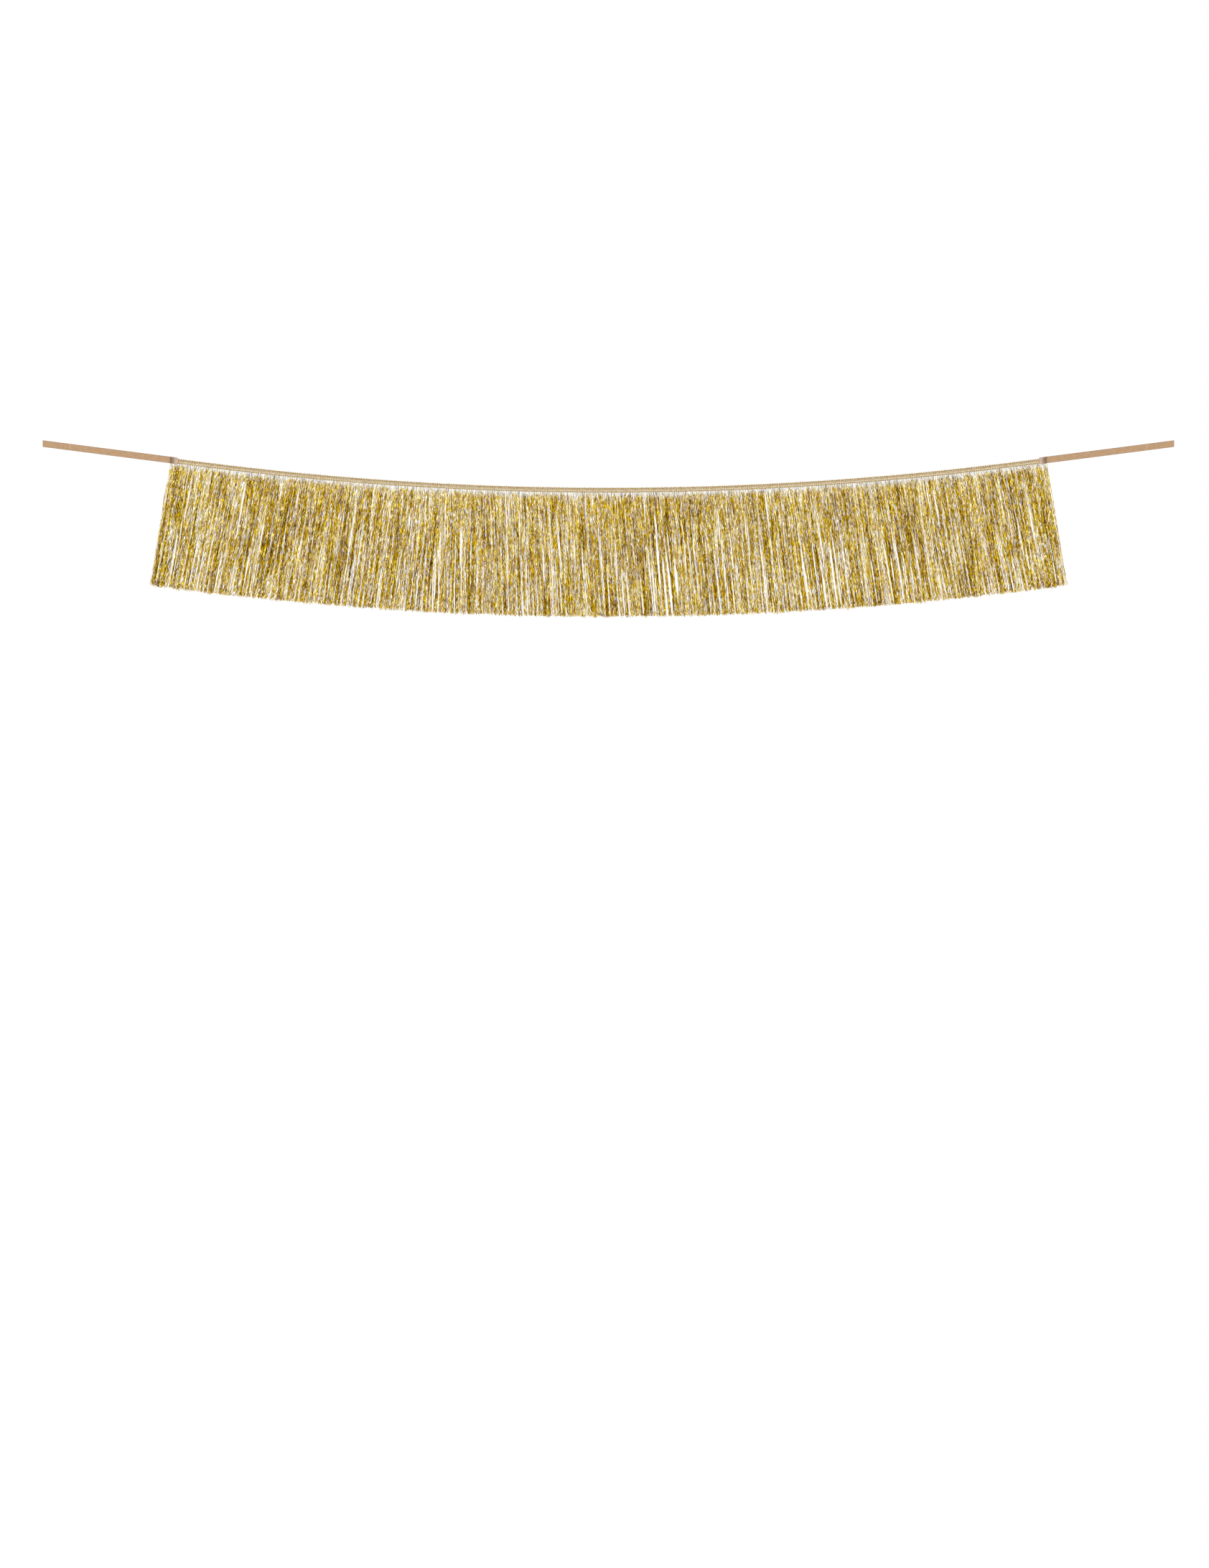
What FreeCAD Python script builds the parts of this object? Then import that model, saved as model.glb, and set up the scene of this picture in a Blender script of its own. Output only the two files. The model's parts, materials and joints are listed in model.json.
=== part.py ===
import FreeCAD, Part
import math
import os

# A tinsel fringe garland with a knitted header tape and two ribbon ties, in millimetres.
# +X runs along the garland, to the right from the front. The front faces -Y, and +Z is up.
# The origin is the middle of the header tape's back face.
#
# The tape hangs in a shallow arc whose centre is far above it, and every strand stands square to the tape.
# So a place on the garland is an angle along the arc and a drop below the tape's top edge.

# Header tape
TAPE_LENGTH = 1350.0
TAPE_HEIGHT = 8.0
TAPE_THICKNESS = 0.8
ARC_RADIUS = 4920.0  # of the tape's top edge

# Chain stitches along the tape's front
CHAIN_HEIGHT = 1.4
CHAIN_THICKNESS = 0.4
CHAIN_ROWS = ("top", "middle", "bottom")

# Fringe, cut into sections that each swing on the tape's lower edge
FRINGE_DROP = 198.0  # of the strands' tips
SECTION_COUNT = 12
SECTION_GAP = 0.8
HINGE_DROP = 10.5
NECK_RADIUS = 1.0  # half the fringe's thickness where it leaves the tape
BODY_HALF_THICKNESS = 2.5
TIP_HALF_THICKNESS = 1.7
SPREAD_LENGTH = 45.0  # from the hinge to where the strands have spread to their full thickness
TIP_LENGTH = 30.0

# Ribbon ties. The route is the right tie's centreline, from its folded inner end to its cut free end.
RIBBON_ROUTE = [
    (659.8, -1.8, 44.6),
    (824.4, -1.8, 65.6),
    (866.0, -4.0, 70.9),
]
RIBBON_WIDTH = 10.0
RIBBON_THICKNESS = 0.4
HEM_LENGTH = 12.5
BEND_SHARE = 0.45  # of the shorter run, which the bend takes up on each side of its corner

# Bar tacks that sew the ties to the tape
TACK_FROM_FOLD = 6.3
TACK_SIZE = FreeCAD.Vector(2.6, 0.4, 7.6)

HALF_ANGLE = TAPE_LENGTH / ARC_RADIUS / 2
TAPE_MIDDLE = -TAPE_THICKNESS / 2
TAPE_FRONT = -TAPE_THICKNESS
CHAIN_FRONT = TAPE_FRONT - CHAIN_THICKNESS


def on_arc(angle, drop, y=0.0):
    """The point at an angle along the arc and a drop below the tape's top edge."""
    reach = ARC_RADIUS + drop
    centre_height = ARC_RADIUS + TAPE_HEIGHT / 2
    return FreeCAD.Vector(reach * math.sin(angle), y, centre_height - reach * math.cos(angle))


def arc_band(top, bottom, back, front):
    """A band along the whole tape, between two drops and from its back face to its front face."""
    upper = [on_arc(angle, top, back) for angle in (-HALF_ANGLE, 0.0, HALF_ANGLE)]
    lower = [on_arc(angle, bottom, back) for angle in (HALF_ANGLE, 0.0, -HALF_ANGLE)]
    edges = [
        Part.Arc(*upper).toShape(),
        Part.makeLine(upper[-1], lower[0]),
        Part.Arc(*lower).toShape(),
        Part.makeLine(lower[-1], upper[0]),
    ]
    return Part.Face(Part.Wire(edges)).extrude(FreeCAD.Vector(0, front - back, 0))


def chain_stitch(row):
    """One of the chain-stitch rows, spaced evenly from the tape's top edge to its bottom edge."""
    top = row * (TAPE_HEIGHT - CHAIN_HEIGHT) / (len(CHAIN_ROWS) - 1)
    return arc_band(top, top + CHAIN_HEIGHT, TAPE_FRONT, CHAIN_FRONT)


def fringe_profile():
    """The fringe's side view about its hinge line: a round neck, a spread, a straight body and thinner tips."""
    length = FRINGE_DROP - HINGE_DROP
    side = [
        (NECK_RADIUS, 0.0),
        (BODY_HALF_THICKNESS, SPREAD_LENGTH),
        (BODY_HALF_THICKNESS, length - TIP_LENGTH),
        (TIP_HALF_THICKNESS, length),
    ]
    front = [FreeCAD.Vector(0, -half, -drop) for half, drop in side]
    back = [FreeCAD.Vector(0, half, -drop) for half, drop in side]
    crown = FreeCAD.Vector(0, 0, NECK_RADIUS)
    sides = Part.makePolygon(front + back[::-1]).Edges
    neck = Part.Arc(back[0], crown, front[0]).toShape()
    return Part.Face(Part.Wire(sides + [neck]))


def fringe_section(index):
    """A parallel-sided section of strands, centred on its share of the arc and square to it."""
    share = 2 * HALF_ANGLE / SECTION_COUNT
    angle = -HALF_ANGLE + (index + 0.5) * share
    width = share * (ARC_RADIUS + HINGE_DROP) - SECTION_GAP
    section = fringe_profile().extrude(FreeCAD.Vector(width, 0, 0))
    section.translate(FreeCAD.Vector(-width / 2, 0, 0))
    turn = FreeCAD.Rotation(FreeCAD.Vector(0, -1, 0), math.degrees(angle))
    section.Placement = FreeCAD.Placement(on_arc(angle, HINGE_DROP, TAPE_MIDDLE), turn) * section.Placement
    return section


def ribbon_tie():
    """The right tie: a strip along its route with one gentle bend, and its inner end turned under as a hem."""
    start, corner, end = [FreeCAD.Vector(*point) for point in RIBBON_ROUTE]
    inward = (start - corner).normalize()
    outward = (end - corner).normalize()
    half_turn = (math.pi - inward.getAngle(outward)) / 2
    trim = BEND_SHARE * min((start - corner).Length, (end - corner).Length)
    radius = trim / math.tan(half_turn)
    print("ribbon bend radius", round(radius, 1), "mm")

    facing = outward.cross(inward).normalize()
    first_normal = facing.cross(inward)
    last_normal = outward.cross(facing)
    middle_normal = (first_normal + last_normal).normalize()
    middle = corner + (inward + outward).normalize() * (radius / math.cos(half_turn) - radius)
    stations = [
        (start, first_normal),
        (corner + inward * trim, first_normal),
        (middle, middle_normal),
        (corner + outward * trim, last_normal),
        (end, last_normal),
    ]
    half = RIBBON_THICKNESS / 2
    one = [point + normal * half for point, normal in stations]
    other = [point - normal * half for point, normal in stations]
    edges = [
        Part.makeLine(one[0], one[1]),
        Part.Arc(*one[1:4]).toShape(),
        Part.makeLine(one[3], one[4]),
        Part.makeLine(one[4], other[4]),
        Part.makeLine(other[4], other[3]),
        Part.Arc(*other[3:0:-1]).toShape(),
        Part.makeLine(other[1], other[0]),
        Part.makeLine(other[0], one[0]),
    ]
    # Both ends are cut upright, so the strip is swept straight up.
    rise = RIBBON_WIDTH / math.hypot(inward.x, inward.y)
    up = FreeCAD.Vector(0, 0, rise)
    strip = Part.Face(Part.Wire(edges)).extrude(up)

    hem_back = start + FreeCAD.Vector(0, half, 0)
    along = -inward * HEM_LENGTH
    deep = FreeCAD.Vector(0, RIBBON_THICKNESS, 0)
    corners = [hem_back, hem_back + along, hem_back + along + deep, hem_back + deep, hem_back]
    hem = Part.Face(Part.makePolygon(corners)).extrude(up)

    tie = strip.fuse(hem).removeSplitter()
    tie.translate(-up / 2)
    length = (corner - start).Length + (end - corner).Length - 2 * trim + 2 * half_turn * radius
    print("ribbon length", round(length, 1), "mm, strip volume", round(strip.Volume), "mm3, section times length",
          round(length * RIBBON_WIDTH * RIBBON_THICKNESS), "mm3")
    return tie


def tack_bar(front):
    """One bar of the right bar tack's stitches, with its front face at that y."""
    start, corner = [FreeCAD.Vector(*point) for point in RIBBON_ROUTE[:2]]
    centre = start + (corner - start).normalize() * TACK_FROM_FOLD
    low_corner = FreeCAD.Vector(centre.x - TACK_SIZE.x / 2, front, centre.z - TACK_SIZE.z / 2)
    return Part.makeBox(*TACK_SIZE, low_corner)


def mirrored(shape):
    """The same shape on the garland's left."""
    return shape.mirror(FreeCAD.Vector(0, 0, 0), FreeCAD.Vector(1, 0, 0))


# The front bar lies on the ribbon. The back bar is pulled into the tape, flush with its back face.
ribbon_front = RIBBON_ROUTE[0][1] - RIBBON_THICKNESS / 2
front_bar = tack_bar(ribbon_front - TACK_SIZE.y)
back_bar = tack_bar(-TACK_SIZE.y)
web = arc_band(0.0, TAPE_HEIGHT, 0.0, TAPE_FRONT).cut([back_bar, mirrored(back_bar)])

nodes = {"header_web": web}
for row, name in enumerate(CHAIN_ROWS):
    nodes[f"chain_stitch_{name}"] = chain_stitch(row)
for index in range(SECTION_COUNT):
    nodes[f"fringe_{index + 1:02d}"] = fringe_section(index)
for name, right in (("ribbon_tie", ribbon_tie()), ("bar_tack", Part.makeCompound([front_bar, back_bar]))):
    nodes[f"{name}_right"] = right
    nodes[f"{name}_left"] = mirrored(right)

os.makedirs("parts", exist_ok=True)
for name, shape in nodes.items():
    shape.exportStep(f"parts/{name}.step")
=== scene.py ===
"""A gold tinsel fringe garland with a knitted header tape and two ribbon ties, built around the CAD frame.

Lengths are in metres. A place on the garland is a distance along the tape's top edge from its middle, a drop
below that edge, and a depth, which is the frame's y: the front is at -y.
"""

import json
import math

import bpy
import numpy as np
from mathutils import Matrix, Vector

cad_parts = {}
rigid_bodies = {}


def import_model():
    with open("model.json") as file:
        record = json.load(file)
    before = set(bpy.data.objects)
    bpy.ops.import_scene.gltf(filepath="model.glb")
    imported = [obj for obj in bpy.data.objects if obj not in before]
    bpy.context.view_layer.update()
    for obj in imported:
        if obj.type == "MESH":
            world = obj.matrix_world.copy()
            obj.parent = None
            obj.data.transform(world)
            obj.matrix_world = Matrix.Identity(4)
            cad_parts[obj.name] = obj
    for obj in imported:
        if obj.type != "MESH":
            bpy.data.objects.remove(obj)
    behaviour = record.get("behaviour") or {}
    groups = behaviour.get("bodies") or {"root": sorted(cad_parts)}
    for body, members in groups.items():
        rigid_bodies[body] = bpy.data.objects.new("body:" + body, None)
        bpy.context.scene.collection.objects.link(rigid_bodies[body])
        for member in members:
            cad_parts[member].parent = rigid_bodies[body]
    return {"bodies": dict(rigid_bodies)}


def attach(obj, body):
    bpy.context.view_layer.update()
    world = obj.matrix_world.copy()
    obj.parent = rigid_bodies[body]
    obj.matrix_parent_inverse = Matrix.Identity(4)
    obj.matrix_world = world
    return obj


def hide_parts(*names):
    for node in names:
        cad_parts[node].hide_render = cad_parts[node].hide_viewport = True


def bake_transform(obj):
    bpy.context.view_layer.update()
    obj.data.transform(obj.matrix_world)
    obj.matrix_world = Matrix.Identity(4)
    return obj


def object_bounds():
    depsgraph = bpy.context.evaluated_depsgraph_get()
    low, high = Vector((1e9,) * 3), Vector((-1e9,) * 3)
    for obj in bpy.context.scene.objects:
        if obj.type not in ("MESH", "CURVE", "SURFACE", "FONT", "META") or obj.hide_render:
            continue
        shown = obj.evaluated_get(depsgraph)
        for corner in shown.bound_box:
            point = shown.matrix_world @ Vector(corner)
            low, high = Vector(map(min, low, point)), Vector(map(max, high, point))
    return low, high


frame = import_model()
cad_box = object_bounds()

MM = 0.001

# The header tape's arc, as in the CAD model
TAPE_LENGTH = 1350 * MM
TAPE_HEIGHT = 8 * MM
TAPE_THICKNESS = 0.8 * MM
TAPE_MIDDLE = -TAPE_THICKNESS / 2
ARC_RADIUS = 4920 * MM
SECTIONS = sorted(body for body in frame["bodies"] if body.startswith("fringe_"))
SECTION_LENGTH = TAPE_LENGTH / len(SECTIONS)
TIP_DROP = 198 * MM

# Stitches: one bundle of strands hangs from each
STITCHES_PER_SECTION = 32
STITCH = SECTION_LENGTH / STITCHES_PER_SECTION
STITCH_COUNT = STITCHES_PER_SECTION * len(SECTIONS)

# The right ribbon tie's centreline, from its folded inner end to its cut free end
RIBBON_ROUTE = [
    (0.6598, -0.0018, 0.0446),
    (0.8244, -0.0018, 0.0656),
    (0.8660, -0.0040, 0.0709),
]
RIBBON_WIDTH = 10 * MM
RIBBON_THICKNESS = 0.4 * MM
HEM_LENGTH = 12.5 * MM
PINCH_FROM_FOLD = 10 * MM
CREASE_FROM_END = 42 * MM

# Seeds of the random draws
HEADER_SEED = 11
FIRST_SECTION_SEED = 100
STREAK_SEED = 7
GAP_SEED = 23


# ---------------------------------------------------------------- geometry helpers


def on_arc(along, drop, depth):
    """Points on the garland, as an array whose last axis is x, y, z."""
    angle = along / ARC_RADIUS
    reach = ARC_RADIUS + drop
    height = ARC_RADIUS + TAPE_HEIGHT / 2 - reach * np.cos(angle)
    return np.stack([reach * np.sin(angle), depth + 0 * reach, height], axis=-1)


def grid_faces(strips, rows, columns, closed=False):
    """Quads for strips of rows by columns points. If closed, the last column joins the first."""
    column_quads = columns if closed else columns - 1
    ranges = np.arange(strips), np.arange(rows - 1), np.arange(column_quads)
    strip, row, column = np.meshgrid(*ranges, indexing="ij")
    start = strip * rows * columns + row * columns
    here, beside = start + column, start + (column + 1) % columns
    return np.stack([here, beside, beside + columns, here + columns], axis=-1).reshape(-1, 4)


def make_mesh(name, points, faces, smooth_shaded=True):
    """A mesh object from arrays of points and quads."""
    mesh = bpy.data.meshes.new(name)
    mesh.vertices.add(len(points))
    mesh.vertices.foreach_set("co", np.asarray(points, np.float32).ravel())
    mesh.loops.add(faces.size)
    mesh.loops.foreach_set("vertex_index", faces.astype(np.int32).ravel())
    mesh.polygons.add(len(faces))
    mesh.polygons.foreach_set("loop_start", np.arange(0, faces.size, faces.shape[1], dtype=np.int32))
    mesh.polygons.foreach_set("use_smooth", np.full(len(faces), smooth_shaded))
    mesh.update(calc_edges=True)
    obj = bpy.data.objects.new(name, mesh)
    bpy.context.scene.collection.objects.link(obj)
    return obj


def set_uv(obj, uv):
    """Gives each point of a mesh its place in a UV map named Yarn."""
    layer = obj.data.uv_layers.new(name="Yarn")
    corners = np.empty(len(obj.data.loops), np.int32)
    obj.data.loops.foreach_get("vertex_index", corners)
    layer.data.foreach_set("uv", np.asarray(uv, np.float32)[corners].ravel())


def tubes(paths, radii, sides):
    """Closed-ring tubes along many paths of the same number of points.

    paths is (tubes, points, 3) and radii (tubes, points). Returns points, faces and a UV, which
    holds millimetres along and the share of a turn around.
    """
    count, rows = paths.shape[:2]
    run = np.gradient(paths, axis=1)
    run /= np.linalg.norm(run, axis=-1, keepdims=True)
    skew = np.array([0.13, 1.0, 0.07])  # a direction that no tube takes
    side = np.cross(run, skew)
    side /= np.linalg.norm(side, axis=-1, keepdims=True)
    lift = np.cross(side, run)
    turn = np.linspace(0, 2 * math.pi, sides, endpoint=False)
    rings = side[:, :, None] * np.cos(turn)[:, None] + lift[:, :, None] * np.sin(turn)[:, None]
    points = paths[:, :, None] + radii[:, :, None, None] * rings
    steps = np.linalg.norm(np.diff(paths, axis=1), axis=-1)
    along = np.concatenate([np.zeros((count, 1)), np.cumsum(steps, axis=1)], axis=1)
    u = np.broadcast_to(along[:, :, None] / MM, (count, rows, sides))
    v = np.broadcast_to(turn / (2 * math.pi), (count, rows, sides))
    uv = np.stack([u, v], axis=-1).reshape(-1, 2)
    return points.reshape(-1, 3), grid_faces(count, rows, sides, closed=True), uv


# ---------------------------------------------------------------- material helpers


def new_material(name):
    """An empty node material, with a function that adds a linked node."""
    material = bpy.data.materials.new(name)
    material.use_nodes = True
    tree = material.node_tree
    tree.nodes.clear()

    def add(kind, inputs=(), **settings):
        node = tree.nodes.new(kind)
        for key, value in settings.items():
            setattr(node, key, value)
        for key, value in dict(inputs).items():
            if isinstance(value, bpy.types.NodeSocket):
                tree.links.new(value, node.inputs[key])
            else:
                node.inputs[key].default_value = value
        return node

    return material, add


def srgb(red, green, blue):
    """An 8-bit display colour as linear values."""
    values = [channel / 255 for channel in (red, green, blue)]
    return tuple(v / 12.92 if v <= 0.04045 else ((v + 0.055) / 1.055) ** 2.4 for v in values)


def ramp(add, factor, stops):
    """A colour ramp through (position, (r, g, b)) stops, in linear colour."""
    node = add("ShaderNodeValToRGB", {"Fac": factor})
    elements = node.color_ramp.elements
    while len(elements) > 1:
        elements.remove(elements[-1])
    elements[0].position, elements[0].color = stops[0][0], (*stops[0][1], 1)
    for position, colour in stops[1:]:
        elements.new(position).color = (*colour, 1)
    return node.outputs["Color"]


def remap(add, value, low, high, to_low=0.0, to_high=1.0, **settings):
    """Maps low to to_low and high to to_high, in proportion between them and held beyond them."""
    inputs = {"Value": value, "From Min": low, "From Max": high, "To Min": to_low, "To Max": to_high}
    return add("ShaderNodeMapRange", inputs, **settings).outputs["Result"]


def noise(add, place, scale, detail):
    """Cloudy noise, mostly between 0.3 and 0.7."""
    return add("ShaderNodeTexNoise", {"Vector": place, "Scale": scale, "Detail": detail}).outputs["Fac"]


def bands(add, place, direction, scale, distortion, detail_scale=1.0):
    """Soft parallel stripes."""
    inputs = {"Vector": place, "Scale": scale, "Distortion": distortion, "Detail Scale": detail_scale}
    return add("ShaderNodeTexWave", inputs, wave_type="BANDS", bands_direction=direction).outputs["Fac"]


def calculate(add, operation, *values):
    """The result of a Math node."""
    return add("ShaderNodeMath", dict(enumerate(values)), operation=operation).outputs["Value"]


def mixed_value(add, factor, one, other):
    """A value part of the way from one to other."""
    return add("ShaderNodeMix", {"Factor": factor, "A": one, "B": other}).outputs["Result"]


def bumped(add, height, strength, distance):
    """The surface's normal, tilted by a height."""
    inputs = {"Height": height, "Strength": strength, "Distance": distance}
    return add("ShaderNodeBump", inputs).outputs["Normal"]


def brightened(add, colour, factor):
    """A colour multiplied by a factor."""
    inputs = {0: colour, "Scale": factor}
    return add("ShaderNodeVectorMath", inputs, operation="SCALE").outputs["Vector"]


def tinted(add, share, colour, tint):
    """A colour multiplied by a tint, as far as the share says."""
    inputs = {0: share, 6: colour, 7: (*tint, 1)}  # the Mix node's factor, first colour and second colour
    return add("ShaderNodeMix", inputs, data_type="RGBA", blend_type="MULTIPLY").outputs[2]


def near(add, value, centre, half_width, soft):
    """1 where value is within half_width of centre, falling to 0 over soft beyond it."""
    away = calculate(add, "ABSOLUTE", calculate(add, "SUBTRACT", value, centre))
    return remap(add, away, half_width, half_width + soft, 1.0, 0.0, interpolation_type="SMOOTHSTEP")


def principled(add, inputs):
    """Gives a material one Principled shader as its surface."""
    shader = add("ShaderNodeBsdfPrincipled", inputs)
    add("ShaderNodeOutputMaterial", {"Surface": shader.outputs["BSDF"]})


# ---------------------------------------------------------------- materials


def tinsel_material():
    """Metallised gold film: the strand's gold with its painted reflections, lightened and darkened by painted
    shade over small crinkles.
    """
    material, add = new_material("tinsel_film")
    place = add("ShaderNodeTexCoord").outputs["Object"]
    # The film attribute holds the gold with painted reflections, from dark olive to white
    film_and_reflections = add("ShaderNodeAttribute", attribute_name="film").outputs["Color"]
    crinkle = noise(add, place, scale=900.0, detail=2.0)
    shade = remap(add, crinkle, 0.3, 0.7, to_low=0.85, to_high=1.15)
    principled(add, {
        "Base Color": brightened(add, film_and_reflections, shade),
        "Roughness": remap(add, crinkle, 0.3, 0.7, to_low=0.28, to_high=0.46),
        "Normal": bumped(add, crinkle, strength=0.25, distance=0.4 * MM),
        "Metallic": 1.0,
        "Specular Tint": (1.0, 0.88, 0.0, 1.0),
    })
    return material


def yarn_material(name, dark, middle, light, metallic=0.25):
    """Lurex yarn: a twisted thread with a lighter glint along each turn, for the UV of tubes()."""
    material, add = new_material(name)
    place = add("ShaderNodeTexCoord").outputs["Object"]
    uv = add("ShaderNodeUVMap", uv_map="Yarn").outputs["UV"]
    # A diagonal wave turns by 10 radians a unit, so this scale around closes the twist after one turn.
    slant = add("ShaderNodeMapping", {"Vector": uv, "Scale": (0.55, math.tau / 10, 1.0)}).outputs["Vector"]
    twist = bands(add, slant, "DIAGONAL", scale=1.0, distortion=0.4)
    fleck = noise(add, place, scale=650.0, detail=3.0)
    factor = remap(add, mixed_value(add, 0.6, twist, fleck), 0.25, 0.75)
    principled(add, {
        "Base Color": ramp(add, factor, [(0.0, dark), (0.5, middle), (1.0, light)]),
        "Normal": bumped(add, twist, strength=0.6, distance=0.2 * MM),
        "Roughness": 0.45,
        "Metallic": metallic,
    })
    return material


def ribbon_material():
    """Woven tan ribbon. The UV is millimetres along from the fold and across from the middle."""
    material, add = new_material("ribbon")
    uv = add("ShaderNodeUVMap", uv_map="Yarn").outputs["UV"]
    split = add("ShaderNodeSeparateXYZ", {"Vector": uv})
    along, across = split.outputs["X"], split.outputs["Y"]
    warp = bands(add, uv, "Y", scale=0.70, distortion=0.5, detail_scale=2.0)
    weft = bands(add, uv, "X", scale=0.55, distortion=0.5, detail_scale=2.0)
    weave = calculate(add, "MULTIPLY", warp, weft)
    long_way = add("ShaderNodeMapping", {"Vector": uv, "Scale": (0.12, 1.6, 1.0)}).outputs["Vector"]
    slub = noise(add, long_way, scale=1.3, detail=3.0)
    cloud = noise(add, uv, scale=0.16, detail=2.0)
    cloth = mixed_value(add, 0.5, weave, slub)
    shades = [(0.0, srgb(158, 123, 90)), (0.55, srgb(180, 147, 112)), (1.0, srgb(195, 165, 134))]
    colour = ramp(add, remap(add, cloth, 0.15, 0.75), shades)
    colour = brightened(add, colour, remap(add, cloud, 0.3, 0.7, to_low=0.93, to_high=1.06))

    # Each mark has its place, half width and softness in millimetres, and its tint. The selvedges are darker,
    # the fold is paler and cooler, painted shade darkens the ribbon where it is pinched beside the bar tack,
    # and an old crease shows near its free end.
    from_middle = calculate(add, "ABSOLUTE", across)
    marks = [
        (from_middle, 4.7, 0.25, 0.35, (0.80, 0.76, 0.72)),
        (along, 0.0, 4.3, 1.6, (1.24, 1.34, 1.80)),
        # painted shade in the pinch beside the bar tack
        (along, 9.6, 1.3, 2.2, (0.48, 0.42, 0.40)),
        (along, (RIBBON_LENGTH - CREASE_FROM_END) / MM, 0.35, 0.5, (1.16, 1.22, 1.30)),
    ]
    uneven = remap(add, slub, 0.3, 0.6, to_low=0.7)
    for value, centre, half_width, soft, tint in marks:
        share = calculate(add, "MULTIPLY", near(add, value, centre, half_width, soft), uneven)
        colour = tinted(add, share, colour, tint)
    principled(add, {
        "Base Color": colour,
        "Normal": bumped(add, cloth, strength=0.5, distance=0.2 * MM),
        "Roughness": 0.72,
        "Sheen Weight": 0.15,
        "Specular IOR Level": 0.3,
    })
    return material


# ---------------------------------------------------------------- noise over the fringe


def smooth(t):
    """Eases 0 to 1 in and out."""
    return t * t * (3 - 2 * t)


def ease(value, low, high):
    """0 below low, 1 above high, and smooth between."""
    return smooth(np.clip((value - low) / (high - low), 0, 1))


def strand_noise(rng, drop, spacing):
    """Smooth noise down each strand by itself, with a new value about every spacing."""
    count = len(drop)
    knots = int(TIP_DROP / spacing) + 4
    values = rng.standard_normal((count, knots))
    at = drop / spacing + rng.random((count, 1))
    index = np.clip(at.astype(int), 0, knots - 2)
    part = smooth(at - index)
    strand = np.arange(count)[:, None]
    return values[strand, index] * (1 - part) + values[strand, index + 1] * part


def streaks(rng, along, drop, width, length):
    """A noise field over the fringe in long upright streaks, as broad and as long as given."""
    # The field has columns and rows to spare, because strands stray past the tape's ends.
    columns = int(TAPE_LENGTH / width) + 8
    rows = int(TIP_DROP / length) + 4
    values = rng.standard_normal((columns, rows))
    across = np.clip((along + TAPE_LENGTH / 2) / width + 3, 0, columns - 1.001)
    down = np.clip(drop / length + 0.5, 0, rows - 1.001)
    column, row = across.astype(int), down.astype(int)
    column_part, row_part = smooth(across - column), smooth(down - row)
    left = values[column, row] * (1 - row_part) + values[column, row + 1] * row_part
    right = values[column + 1, row] * (1 - row_part) + values[column + 1, row + 1] * row_part
    return left * (1 - column_part) + right * column_part


# ---------------------------------------------------------------- fringe

STRANDS_PER_STITCH = 16
STRAND_STEPS = 100
FILM_WIDTH = 0.80 * MM
START_DROP = TAPE_HEIGHT - 0.8 * MM  # of the strands' upper ends, inside the tape
ROOT_SPREAD = 0.36  # of a bundle's strands, in stitches each way from its middle
FAN = 1.1  # how far a strand moves below its stitch, in stitches each way
END_INSET = 2.5 * MM  # of the outermost strands from the tape's ends
END_CROWDED = 40 * MM  # of the tape at each end, over which the strands are drawn inward

# The fringe is combed outward from a parting left of its middle, and falls straighter near its ends.
PARTING = -256 * MM
COMBED = 0.07  # sideways per drop
COMBING_REACH = 70 * MM  # over which it grows, from the parting and from the tape's ends
END_COMBING = 0.3  # at the ends, as a share of the full combing

# Cut tips: how far they scatter in millimetres, by stitch, by strand, and by strand upward only
TIP_SCATTER = (0.7, 1.0, 1.2)

# The fringe's half thickness at the tape, and how much it gains below
HALF_THICKNESS = 0.25 * MM
THICKNESS_GAIN = 1.55 * MM
FULL_THICKNESS_DROP = 50 * MM

# Locks of strands in two layers, which lean together and gather at their tips
LOCK_WIDTHS = (9 * MM, 12 * MM)
LOCK_LENGTH = 130 * MM
LOCK_LEAN = 2.2 * MM
CLUMPING = 0.30

# Crinkles: the range of their pitch and of their size, and over what length the tips curl and crinkle more
CRINKLE_PITCH = (6.5, 13.0)  # in millimetres
CRINKLE_SIZE = (0.12, 0.34)  # in millimetres
CRINKLED_TIP = 12 * MM
CURLED_TIP = 9 * MM

# Long narrow gaps
GAPS = 120
GAP_TOPS = (6, 135)  # drops in millimetres
GAP_LENGTHS = (45, 150)  # in millimetres
GAP_TAPER = 22 * MM
GAP_REACH = 7 * MM  # how far beside a gap the strands are crowded

# The film's gold with painted reflections: dark olive is painted dark reflection, white is painted highlight
FILM_AND_REFLECTION_COLOURS = [
    (0.00, srgb(132, 102, 0)),
    (0.12, srgb(170, 133, 0)),
    (0.26, srgb(204, 163, 0)),
    (0.42, srgb(222, 186, 8)),
    (0.58, srgb(231, 207, 28)),
    (0.74, srgb(239, 227, 160)),
    (0.88, srgb(246, 244, 238)),
    (1.00, srgb(255, 255, 255)),
]
GREY_FILM = np.array(srgb(215, 217, 230))
PINK_FILM = np.array(srgb(236, 214, 164))

# A strand's tone, from 0 to 1 through the film's gold and its painted reflections
MEAN_TONE = 0.455
TONE_FALL = 0.015  # from the tape to the tips
TONE_SPREAD = 0.15  # between strands
# Streaks of painted light and shade over neighbouring strands:
TONE_STREAKS = ((0.15, 3.5 * MM, 50 * MM), (0.06, 14 * MM, 70 * MM))  # strength, width and length
TONE_GLINTS = ((0.20, 10 * MM), (0.18, 3 * MM))  # strength and spacing

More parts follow.
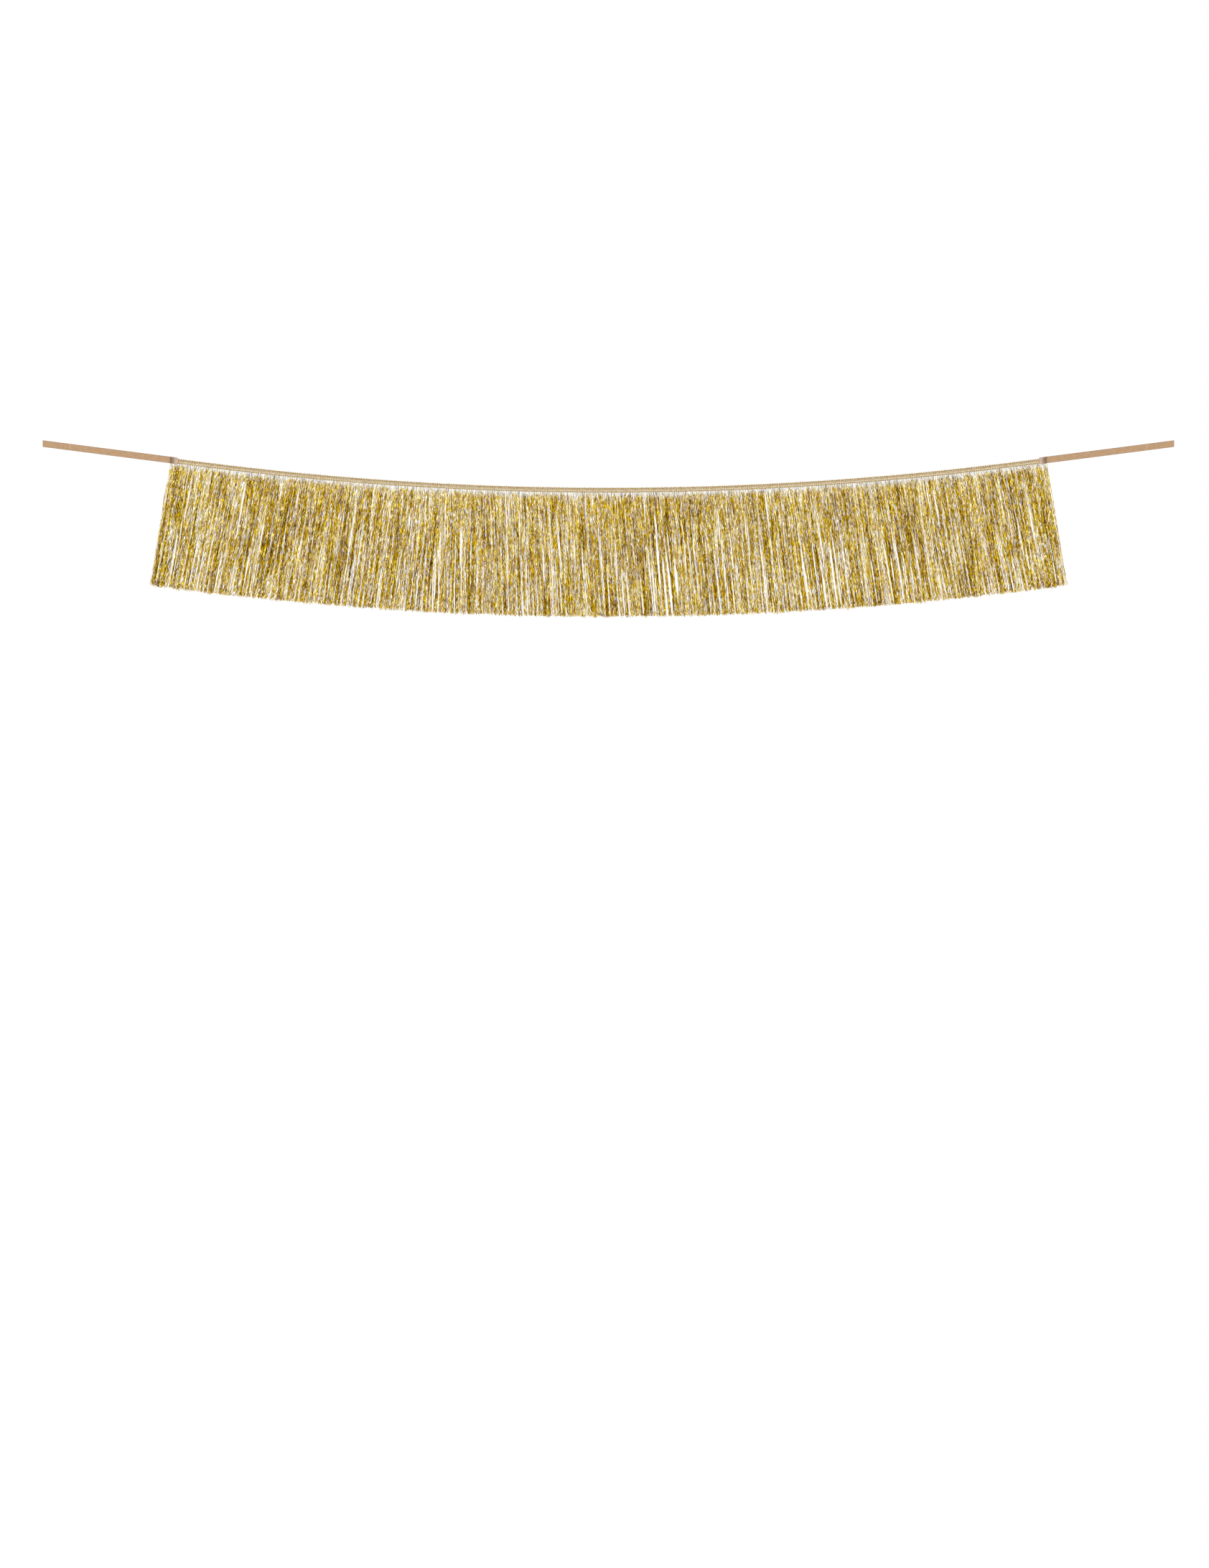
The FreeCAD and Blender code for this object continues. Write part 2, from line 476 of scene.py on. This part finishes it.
# The strands' pale heads below the tape
STITCH_HEADS = (0, 14)  # lengths in millimetres, to which each strand adds its own
STRAND_HEADS = (0.5, 6)
HEAD_TONE = (0.14, 0.24)  # what a head adds to the tone: its mean and spread
HEAD_GREY = (0.3, 1.0)  # how grey the heads are
GREY_SHADES = (0.8, 1.2)  # how light the grey is, from strand to strand


def film_and_reflection_colour(tone):
    """The film's gold and painted reflections for tones from 0 to 1."""
    positions, colours = zip(*FILM_AND_REFLECTION_COLOURS)
    return np.stack([np.interp(tone, positions, channel) for channel in zip(*colours)], axis=-1)


def strand_drops(rng, stitch):
    """Each strand's tip, and the drops of its points down to it. A stitch's strands end at about one drop."""
    count = len(stitch)
    by_stitch, by_strand, upward = TIP_SCATTER
    tip = TIP_DROP + rng.normal(0, by_stitch, STITCHES_PER_SECTION)[stitch, None] * MM
    tip = tip + rng.normal(0, by_strand * MM, (count, 1)) - np.abs(rng.normal(0, upward * MM, (count, 1)))
    return tip, START_DROP + (tip - START_DROP) * np.linspace(0, 1, STRAND_STEPS)


def hang(rng, shared, root, drop, end_share):
    """Where the strands hang along the tape, and how far each has opened out of its bundle."""
    count = len(root)
    # Each bundle fans out below its stitch until it overlaps its neighbours'.
    fan = rng.uniform(-FAN, FAN, (count, 1)) * STITCH
    fan = np.where(np.abs(root + fan) > TAPE_LENGTH / 2 - END_INSET, -fan, fan)
    opened = ease(drop, TAPE_HEIGHT, TAPE_HEIGHT + rng.uniform(5, 15, (count, 1)) * MM)
    along = root + fan * opened

    # Each strand wanders and leans a little by itself.
    along += strand_noise(rng, drop, 55 * MM) * 0.8 * MM * ease(drop, 20 * MM, 80 * MM)
    along += rng.normal(0, 0.008, (count, 1)) * (drop - TAPE_HEIGHT)

    # Whole locks of strands lean together, which opens narrow gaps between them.
    layer = rng.integers(0, 2, (count, 1))
    locks = [streaks(shared, along, drop, width, LOCK_LENGTH) for width in LOCK_WIDTHS]
    lean = LOCK_LEAN * np.where(layer == 0, *locks)
    along += lean * ease(drop, TAPE_HEIGHT, 120 * MM) * end_share

    # The strands of a lock gather towards one place at their tips.
    clump = (5.2 + 1.9 * layer) * MM
    target = (np.round(along[:, -1:] / clump) + rng.normal(0, 0.16, (count, 1))) * clump
    along += (target - along) * CLUMPING * ease(drop, 30 * MM, 120 * MM)
    return along, opened


def crinkles(rng, tip, drop, opened):
    """The size and phase of a small zigzag whose pitch wanders, stronger in the last few millimetres."""
    count = len(drop)
    pitch = rng.uniform(*CRINKLE_PITCH, (count, 1)) * MM
    wander = 0.35 * strand_noise(rng, drop, 17 * MM)
    phase = 2 * math.pi * (drop / pitch + wander + rng.random((count, 1)))
    size = rng.uniform(*CRINKLE_SIZE, (count, 1)) * MM
    size = size * (0.35 + 0.65 * opened) * (1 + 1.6 * ease(drop, tip - CRINKLED_TIP, tip))
    return size, phase


def parted(along, drop):
    """Moves each strand to one side of long narrow gaps, which taper at both ends."""
    rng = np.random.default_rng(GAP_SEED)
    for _ in range(GAPS):
        middle = rng.uniform(-0.49, 0.49) * TAPE_LENGTH
        half_width = (0.5 + 0.85 * rng.random() ** 2.5) * MM  # mostly narrow, and a few broad
        top = rng.uniform(*GAP_TOPS) * MM
        bottom = top + rng.uniform(*GAP_LENGTHS) * MM
        away = along - middle
        width = half_width * ease(drop, top, top + GAP_TAPER) * (1 - ease(drop, bottom - GAP_TAPER, bottom))
        side = np.where((away * width).sum(axis=1, keepdims=True) < 0, -1, 1)
        along = along + side * width * np.clip(1 - np.abs(away) / GAP_REACH, 0, 1)
    return along


def film_strips(rng, name, along, drop, depth, phase, opened):
    """The strands as flat strips, each of which turns about its own length as it falls."""
    count = len(along)
    centre = on_arc(along, drop, depth)
    turn = rng.uniform(0, 2 * math.pi, (count, 1)) + strand_noise(rng, drop, 26 * MM)
    turn += 0.4 * np.sin(phase * 0.5 + 0.7)
    half = FILM_WIDTH / 2 * rng.uniform(0.7, 1.2, (count, 1)) * (0.5 + 0.5 * opened)
    angle = along / ARC_RADIUS
    sideways = np.stack([np.cos(angle), 0 * angle, np.sin(angle)], axis=-1)
    across = sideways * np.cos(turn)[..., None] + np.array([0, 1.0, 0]) * np.sin(turn)[..., None]
    edge = across * half[..., None]
    points = np.stack([centre - edge, centre + edge], axis=2).reshape(-1, 3)
    return make_mesh(name, points, grid_faces(count, STRAND_STEPS, 2), smooth_shaded=False)


def strand_colours(rng, shared, stitch, in_stitch, along, drop):
    """The film's colour at each point: painted light and shade in streaks shared by neighbours, each strand's
    own shade, and glints.
    """
    count = len(along)
    tone = MEAN_TONE - TONE_FALL * drop / TIP_DROP + rng.normal(0, TONE_SPREAD, (count, 1))
    # Streaks of painted light and shade, shared by neighbouring strands
    for strength, width, length in TONE_STREAKS:
        tone = tone + strength * streaks(shared, along, drop, width, length)
    for strength, spacing in TONE_GLINTS:
        tone = tone + strength * strand_noise(rng, drop, spacing)

    # Heads are paler and greyer, more so in the middle of each stitch, and finely streaked.
    head_length = rng.uniform(*STITCH_HEADS, STITCHES_PER_SECTION)[stitch, None]
    head_length = head_length + rng.uniform(*STRAND_HEADS, (count, 1))
    head = 1 - ease(drop, TAPE_HEIGHT, TAPE_HEIGHT + head_length * MM)
    inner = np.cos(2 * math.pi * in_stitch)  # 1 in the middle of a stitch, near -1 between stitches
    fine = streaks(shared, along, drop, 1.3 * MM, 25 * MM)
    tone += (rng.normal(*HEAD_TONE, (count, 1)) + 0.28 * inner + 0.28 * fine) * head
    colour = film_and_reflection_colour(np.clip(tone, 0, 1))

    grey = np.clip(strand_noise(rng, drop, 9 * MM) - 0.7, 0, 1) * ease(tone, 0.4, 0.7)
    grey = np.maximum(grey, rng.uniform(*HEAD_GREY, (count, 1)) * head)[..., None]
    head_shade = np.clip(1 + (0.30 * inner + 0.38 * fine - 0.02) * head, 0.3, 2)
    dimmed = rng.uniform(*GREY_SHADES, (count, 1)) * head_shade
    colour = colour * (1 - grey) + GREY_FILM * dimmed[..., None] * grey
    pink = 0.4 * np.clip(strand_noise(rng, drop, 9 * MM) - 0.6, 0, 1) * ease(tone, 0.38, 0.58)
    pink = pink[..., None]
    return colour * (1 - pink) + PINK_FILM * pink


def set_film_colour(piece, colour):
    """Gives both edges of each strip its colours, in a colour attribute named film."""
    colour = np.repeat(colour[:, :, None, :], 2, axis=2).reshape(-1, 3)
    rgba = np.concatenate([colour, np.ones((len(colour), 1))], axis=1)
    film = piece.data.color_attributes.new("film", "FLOAT_COLOR", "POINT")
    film.data.foreach_set("color", rgba.astype(np.float32).ravel())


def fringe_section(index, body, material):
    """The strands of one section, from the tape's lower edge to their cut tips."""
    rng = np.random.default_rng(FIRST_SECTION_SEED + index)
    shared = np.random.default_rng(STREAK_SEED)  # the same streaks in every section
    stitch = np.repeat(np.arange(STITCHES_PER_SECTION), STRANDS_PER_STITCH)
    count = len(stitch)
    root = -TAPE_LENGTH / 2 + index * SECTION_LENGTH + (stitch + 0.5) * STITCH
    in_stitch = rng.uniform(-ROOT_SPREAD, ROOT_SPREAD, (count, 1))
    root = root[:, None] + in_stitch * STITCH
    root -= np.sign(root) * END_INSET * ease(np.abs(root), TAPE_LENGTH / 2 - END_CROWDED, TAPE_LENGTH / 2)
    end_share = ease(TAPE_LENGTH / 2 - np.abs(root), 0, COMBING_REACH)
    end_share = END_COMBING + (1 - END_COMBING) * end_share

    tip, drop = strand_drops(rng, stitch)
    along, opened = hang(rng, shared, root, drop, end_share)
    size, phase = crinkles(rng, tip, drop, opened)
    along += size * np.sin(phase)
    along += rng.normal(0, 1.0, (count, 1)) * MM * ease(drop, tip - CURLED_TIP, tip)
    combing = COMBED * np.tanh((root - PARTING) / COMBING_REACH)
    along = parted(along, drop) + combing * (drop - TAPE_HEIGHT) * end_share

    spread = HALF_THICKNESS + THICKNESS_GAIN * ease(drop, TAPE_HEIGHT, FULL_THICKNESS_DROP)
    depth = TAPE_MIDDLE + rng.uniform(-1, 1, (count, 1)) * spread + 1.2 * size * np.sin(phase + 1.3)
    depth += 0.35 * MM * strand_noise(rng, drop, 30 * MM) * opened

    piece = film_strips(rng, f"{body}_strands", along, drop, depth, phase, opened)
    set_film_colour(piece, strand_colours(rng, shared, stitch, in_stitch, along, drop))
    piece.data.materials.append(material)
    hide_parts(body)
    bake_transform(piece)


# ---------------------------------------------------------------- header tape

CHAIN_DROPS = {"top": 1.6 * MM, "middle": 4.0 * MM, "bottom": 7.3 * MM}
CHAIN_DEPTH = -TAPE_THICKNESS - 0.15 * MM
CHAIN_REACH = 0.66  # of a chain stitch each way from its middle, in stitches
PICOT_FOOT = 1.55 * MM  # drop of the loops' feet
PICOT_HALF_WIDTH = 0.65 * MM
PICOT_RADIUS = 0.32 * MM
WEB_TOP = 1.3 * MM
WEB_BOTTOM = TAPE_HEIGHT - 0.45 * MM
stitch_places = -TAPE_LENGTH / 2 + (np.arange(STITCH_COUNT) + 0.5) * STITCH


def yarn_piece(name, parts, material, slot, *nodes):
    """One piece from several sets of tubes, which stands for CAD nodes of the header's body."""
    points, faces, uvs, first = [], [], [], 0
    for paths, radii, sides in parts:
        tube_points, tube_faces, uv = tubes(paths, radii, sides)
        points.append(tube_points)
        faces.append(tube_faces + first)
        uvs.append(uv)
        first += len(tube_points)
    piece = make_mesh(name, np.concatenate(points), np.concatenate(faces))
    set_uv(piece, np.concatenate(uvs))
    piece.data.materials.append(material)
    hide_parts(*nodes)
    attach(piece, "header")


def chain_row(rng, drop):
    """A row of chain stitches: each is a loop whose two legs bow apart and tuck under the next."""
    parts = []
    t = np.linspace(-1, 1, 8)
    bow = np.cos(t * math.pi / 2)
    for side in (-1, 1):
        middle = stitch_places[:, None] + rng.normal(0, 0.08 * MM, (STITCH_COUNT, 1))
        along = middle + CHAIN_REACH * STITCH * t
        height = drop + side * (0.08 + 0.36 * bow) * MM + rng.normal(0, 0.05 * MM, (STITCH_COUNT, 1))
        depth = CHAIN_DEPTH - 0.26 * MM * bow + 0.05 * MM * side * t
        radii = np.broadcast_to((0.22 + 0.10 * bow) * MM, along.shape)
        parts.append((on_arc(along, height, depth), radii, 6))
    return parts


def picots(rng):
    """Small loops of uneven height along the tape's top edge."""
    t = np.linspace(0, math.pi, 7)
    size = rng.uniform(0.9, 1.6, (STITCH_COUNT, 1)) * MM
    middle = stitch_places[:, None] + rng.normal(0, 0.25 * MM, (STITCH_COUNT, 1))
    along = middle - np.cos(t) * PICOT_HALF_WIDTH
    drop = PICOT_FOOT - np.sin(t) * size
    depth = CHAIN_DEPTH + 0.1 * MM * np.cos(t)
    return [(on_arc(along, drop, depth), np.full(along.shape, PICOT_RADIUS), 5)]


def web_yarns(rng):
    """The ground between the chain rows: two sets of yarns that cross, and an upright set behind them."""
    parts = []
    t = np.linspace(0, 1, 9)
    count = 2 * STITCH_COUNT
    # Each set's lean in stitches, and its depth behind the first set and its radius in millimetres
    for lean, behind, radius in ((0.5, 0.0, 0.40), (-0.5, 0.1, 0.40), (0.0, 0.26, 0.34)):
        start = -TAPE_LENGTH / 2 + (np.arange(count) + 0.5)[:, None] * STITCH / 2
        start = start + rng.normal(0, 0.12 * MM, (count, 1))
        sway = 0.16 * MM * np.sin(2 * math.pi * t + rng.uniform(0, math.tau, (count, 1)))
        along = start + lean * STITCH * (t - 0.5) + sway
        inside = TAPE_LENGTH / 2 - radius * MM
        along = np.clip(along, -inside, inside)
        drop = WEB_TOP + t * (WEB_BOTTOM - WEB_TOP)
        depth = TAPE_MIDDLE - 0.14 * MM + behind * MM + 0.1 * MM * np.sin(4 * math.pi * t)
        parts.append((on_arc(along, drop, depth + 0 * along), np.full(along.shape, radius * MM), 5))
    return parts


def make_header():
    """The tape: its knitted ground and its three chain rows, of which the top one has loops."""
    rng = np.random.default_rng(HEADER_SEED)
    web_yarn = yarn_material("header_yarn", srgb(162, 132, 80), srgb(212, 186, 132), srgb(246, 232, 192))
    chain_yarn = yarn_material(
        "chain_yarn", srgb(140, 110, 56), srgb(193, 163, 104), srgb(234, 214, 162), metallic=0.35)
    # The top row and its loops take a darker yarn, as painted shade of the loops along the top edge.
    shaded_edge_yarn = yarn_material(
        "shaded_edge_yarn", srgb(126, 90, 32), srgb(190, 154, 86), srgb(238, 216, 164), metallic=0.35)
    yarn_piece("header_knit", web_yarns(rng), web_yarn, "header_yarn", "header_web")
    for row, drop in CHAIN_DROPS.items():
        parts = chain_row(rng, drop) + (picots(rng) if row == "top" else [])
        yarn = shaded_edge_yarn if row == "top" else chain_yarn
        yarn_piece(f"chain_{row}", parts, yarn, "chain_yarn", f"chain_stitch_{row}")


# ---------------------------------------------------------------- ribbon ties and bar tacks

# The ribbon's outline, from its lower to its upper edge: places across it as shares of its half width, and
# half its thickness at each in millimetres. Each selvedge is thicker than the middle.
RIBBON_PLACES = np.array([-1, -0.97, -0.9, -0.84, -0.6, -0.3, 0, 0.3, 0.6, 0.84, 0.9, 0.97, 1])
RIBBON_HALVES = np.array([0.09, 0.19, 0.2, 0.15, 0.14, 0.14, 0.14, 0.14, 0.14, 0.15, 0.2, 0.19, 0.09])

TACK_TURNS = 9
TACK_STEPS = 20  # points in each turn
TACK_HEIGHT = 7.4 * MM
TACK_HALF_WIDTH = 1.05 * MM
TACK_FROM_FOLD = 6.3 * MM
THREAD_RADIUS = 0.27 * MM


def spline_points(name, route):
    """Points along a route's smooth line: a NURBS spline with the route's points as its control points."""
    curve = bpy.data.curves.new(name, "CURVE")
    curve.dimensions = "3D"
    spline = curve.splines.new("NURBS")
    spline.points.add(len(route) - 1)
    for point, place in zip(spline.points, route):
        point.co = (*place, 1)
    spline.order_u = 3
    spline.use_endpoint_u = True
    curve.resolution_u = 48
    line = bpy.data.objects.new(name, curve)
    mesh = bpy.data.meshes.new_from_object(line)
    points = np.array([vertex.co for vertex in mesh.vertices])
    bpy.data.objects.remove(line)
    bpy.data.curves.remove(curve)
    bpy.data.meshes.remove(mesh)
    return points


def mirrored_route(side):
    """The right tie's route, or its mirror image on the left."""
    return [(side * x, y, z) for x, y, z in RIBBON_ROUTE]


ribbon_runs = np.diff(spline_points("ribbon_line", RIBBON_ROUTE), axis=0)
RIBBON_LENGTH = float(np.linalg.norm(ribbon_runs, axis=1).sum())


def ribbon_centreline(route, front):
    """The tie's middle, from its hem round the fold and along the route.

    Also each point's length past the fold, and the direction in which the tie leaves the fold.
    """
    run = np.diff(route, axis=0)
    steps = np.linalg.norm(run, axis=1)
    out = run[0] / steps[0]

    # The hem lies behind the first stretch, and the fold is a half circle between the two layers.
    fold_radius = RIBBON_THICKNESS / 2
    hem_at = np.linspace(HEM_LENGTH, 0.3 * MM, 16)
    hem = route[0] + hem_at[:, None] * out - front * 2 * fold_radius
    bend = np.linspace(-math.pi / 2, -3 * math.pi / 2, 9)[1:-1]
    round_fold = np.cos(bend)[:, None] * out - np.sin(bend)[:, None] * -front
    fold = route[0] - front * fold_radius + fold_radius * round_fold
    centre = np.concatenate([hem, fold, route])
    length = np.concatenate([-hem_at, np.zeros(len(fold)), np.concatenate([[0], np.cumsum(steps)])])
    return centre, length, out


def ribbon_wave(length):
    """How far the ribbon stands forward: a faint wave along the free stretch, an old crease and a pinch."""
    on_route = np.clip(length, 0, None)
    end = length[-1]
    wave = 0.16 * MM * np.sin(on_route / (23 * MM)) * np.sin(on_route / end * math.pi) ** 2
    wave = wave + 0.3 * MM * np.exp(-(((on_route - (end - CREASE_FROM_END)) / (0.8 * MM)) ** 2))
    return wave - 0.12 * MM * np.exp(-(((on_route - PINCH_FROM_FOLD) / (2 * MM)) ** 2))


def ribbon_tie(name, side, material, node):
    """A woven ribbon from its hem under the fold, round the fold and out along its route to the cut end."""
    route = spline_points(f"{name}_line", mirrored_route(side))
    front = np.array([0, -1.0, 0])
    centre, length, out = ribbon_centreline(route, front)
    direction = np.gradient(centre, axis=0)
    direction[:, 2] = 0
    direction /= np.linalg.norm(direction, axis=1, keepdims=True)
    normal = np.stack([direction[:, 1], -direction[:, 0], np.zeros(len(direction))], axis=1) * side
    centre = centre + front * ribbon_wave(length)[:, None]

    across = np.concatenate([RIBBON_PLACES, RIBBON_PLACES[::-1]])
    thick = np.concatenate([RIBBON_HALVES, -RIBBON_HALVES[::-1]]) * MM
    rise = RIBBON_WIDTH / 2 / math.hypot(out[0], out[1])
    points = centre[:, None] + across[:, None] * np.array([0, 0, rise]) + thick[:, None] * normal[:, None]
    rows, count = len(centre), len(across)
    caps = []
    for first in (0, (rows - 1) * count):
        for k in range(len(RIBBON_PLACES) - 1):
            cap = [first + k, first + k + 1, first + count - 2 - k, first + count - 1 - k]
            caps.append(cap if first else cap[::-1])
    faces = np.concatenate([grid_faces(1, rows, count, closed=True), np.array(caps)])
    piece = make_mesh(name, points.reshape(-1, 3), faces)
    u = np.repeat(length[:, None] / MM, count, 1)
    v = np.broadcast_to(across * RIBBON_WIDTH / 2 / MM, (rows, count))
    set_uv(piece, np.stack([u, v], axis=-1).reshape(-1, 2))
    piece.data.materials.append(material)
    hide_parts(node)
    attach(piece, "header")


def bar_tack(name, side, material, node):
    """Close stitches wound through the ribbon and the tape, down the width of the tie."""
    start, corner = [np.array(point) for point in mirrored_route(side)[:2]]
    centre = start + (corner - start) / np.linalg.norm(corner - start) * TACK_FROM_FOLD
    turn = np.linspace(0, TACK_TURNS * math.tau, TACK_TURNS * TACK_STEPS)
    across = np.clip(1.5 * np.cos(turn), -1, 1) * TACK_HALF_WIDTH
    front, back = start[1] - RIBBON_THICKNESS / 2 - 0.14 * MM, -0.02 * MM
    share = np.clip(0.5 + 1.1 * np.sin(turn), 0, 1)
    depth = back + (front - back) * share
    uneven = 0.08 * MM * np.sin(turn * 0.37 + side)
    height = centre[2] + TACK_HEIGHT / 2 - TACK_HEIGHT * turn / turn[-1] + uneven
    path = np.stack([centre[0] + across + uneven, depth, height], axis=-1)
    radii = np.full((1, len(turn)), THREAD_RADIUS)
    yarn_piece(name, [(path[None], radii, 8)], material, "tack_thread", node)


def make_ties():
    """The ribbon and the bar tack at each end of the tape."""
    ribbon = ribbon_material()
    thread = yarn_material(
        "tack_thread", srgb(92, 98, 92), srgb(134, 142, 134), srgb(188, 194, 186), metallic=0.0)
    for word, side in (("left", -1), ("right", 1)):
        ribbon_tie(f"tie_{word}", side, ribbon, f"ribbon_tie_{word}")
        bar_tack(f"tack_{word}", side, thread, f"bar_tack_{word}")


# ---------------------------------------------------------------- camera, light and floor

PICTURE_HEIGHT = 2.401  # how much of the object's plane the picture is high
CAMERA_DISTANCE = 9.0
PICTURE_DROP = 0.391  # of the picture's middle below the object's
PICTURE_LEFT = 0.006
FLOOR_HEIGHT = -1.9
FLOOR_RINGS = np.array([0.001, 0.8, 1.2, 1.6, 3.0, 6.0, 12.0])  # radii
FLOOR_SIDES = 96


def make_camera():
    """A level camera far in front, whose picture holds the garland in its upper part."""
    low, high = cad_box
    middle = (low + high) / 2
    data = bpy.data.cameras.new("camera")
    data.sensor_width = 36.0
    data.lens = data.sensor_width * CAMERA_DISTANCE / PICTURE_HEIGHT
    data.clip_end = 100.0
    camera = bpy.data.objects.new("camera", data)
    camera.location = (-PICTURE_LEFT, middle.y - CAMERA_DISTANCE, middle.z - PICTURE_DROP)
    camera.rotation_euler = (math.radians(90), 0, 0)
    bpy.context.scene.collection.objects.link(camera)
    bpy.context.scene.camera = camera


def make_light(name, place, size, watts):
    """A soft square lamp that faces the middle of the garland."""
    data = bpy.data.lights.new(name, "AREA")
    data.shape, data.size, data.energy = "SQUARE", size, watts
    lamp = bpy.data.objects.new(name, data)
    lamp.location = place
    lamp.rotation_euler = (-Vector(place)).to_track_quat("-Z", "Y").to_euler()
    bpy.context.scene.collection.objects.link(lamp)


def make_floor():
    """A wide pale disc far below the garland, which brightens outward into the white of the world."""
    turn = np.linspace(0, math.tau, FLOOR_SIDES, endpoint=False)
    x, y = np.outer(FLOOR_RINGS, np.cos(turn)), np.outer(FLOOR_RINGS, np.sin(turn))
    points = np.stack([x, y, np.full(x.shape, FLOOR_HEIGHT)], axis=-1).reshape(-1, 3)
    floor = make_mesh("floor", points, grid_faces(1, *x.shape, closed=True))
    material, add = new_material("floor")
    place = add("ShaderNodeTexCoord").outputs["Object"]
    flat = add("ShaderNodeVectorMath", {0: place, 1: (1.0, 1.0, 0.0)}, operation="MULTIPLY").outputs["Vector"]
    away = add("ShaderNodeVectorMath", {0: flat}, operation="LENGTH").outputs["Value"]
    share = remap(add, away, 0.9, 1.6, interpolation_type="SMOOTHSTEP")
    paint = add("ShaderNodeBsdfDiffuse", {"Color": (0.8, 0.8, 0.8, 1.0)}).outputs["BSDF"]
    glow = add("ShaderNodeEmission", {"Color": (1.0, 1.0, 1.0, 1.0), "Strength": 1.0}).outputs["Emission"]
    surface = add("ShaderNodeMixShader", {0: share, 1: paint, 2: glow}).outputs["Shader"]
    add("ShaderNodeOutputMaterial", {"Surface": surface})
    floor.data.materials.append(material)


def make_studio():
    """A white world, two soft lamps in front and the floor."""
    world = bpy.data.worlds.new("studio")
    world.use_nodes = True
    background = world.node_tree.nodes["Background"]
    background.inputs["Color"].default_value = (1, 1, 1, 1)
    background.inputs["Strength"].default_value = 1.0
    bpy.context.scene.world = world
    bpy.context.scene.view_settings.view_transform = "Standard"
    make_light("key", (-2.6, -4.2, 3.0), 2.0, 90)
    make_light("fill", (3.4, -3.6, 0.6), 2.5, 30)
    make_floor()


make_camera()
make_studio()
make_ties()
make_header()

tinsel = tinsel_material()
for index, body in enumerate(SECTIONS):
    fringe_section(index, body, tinsel)
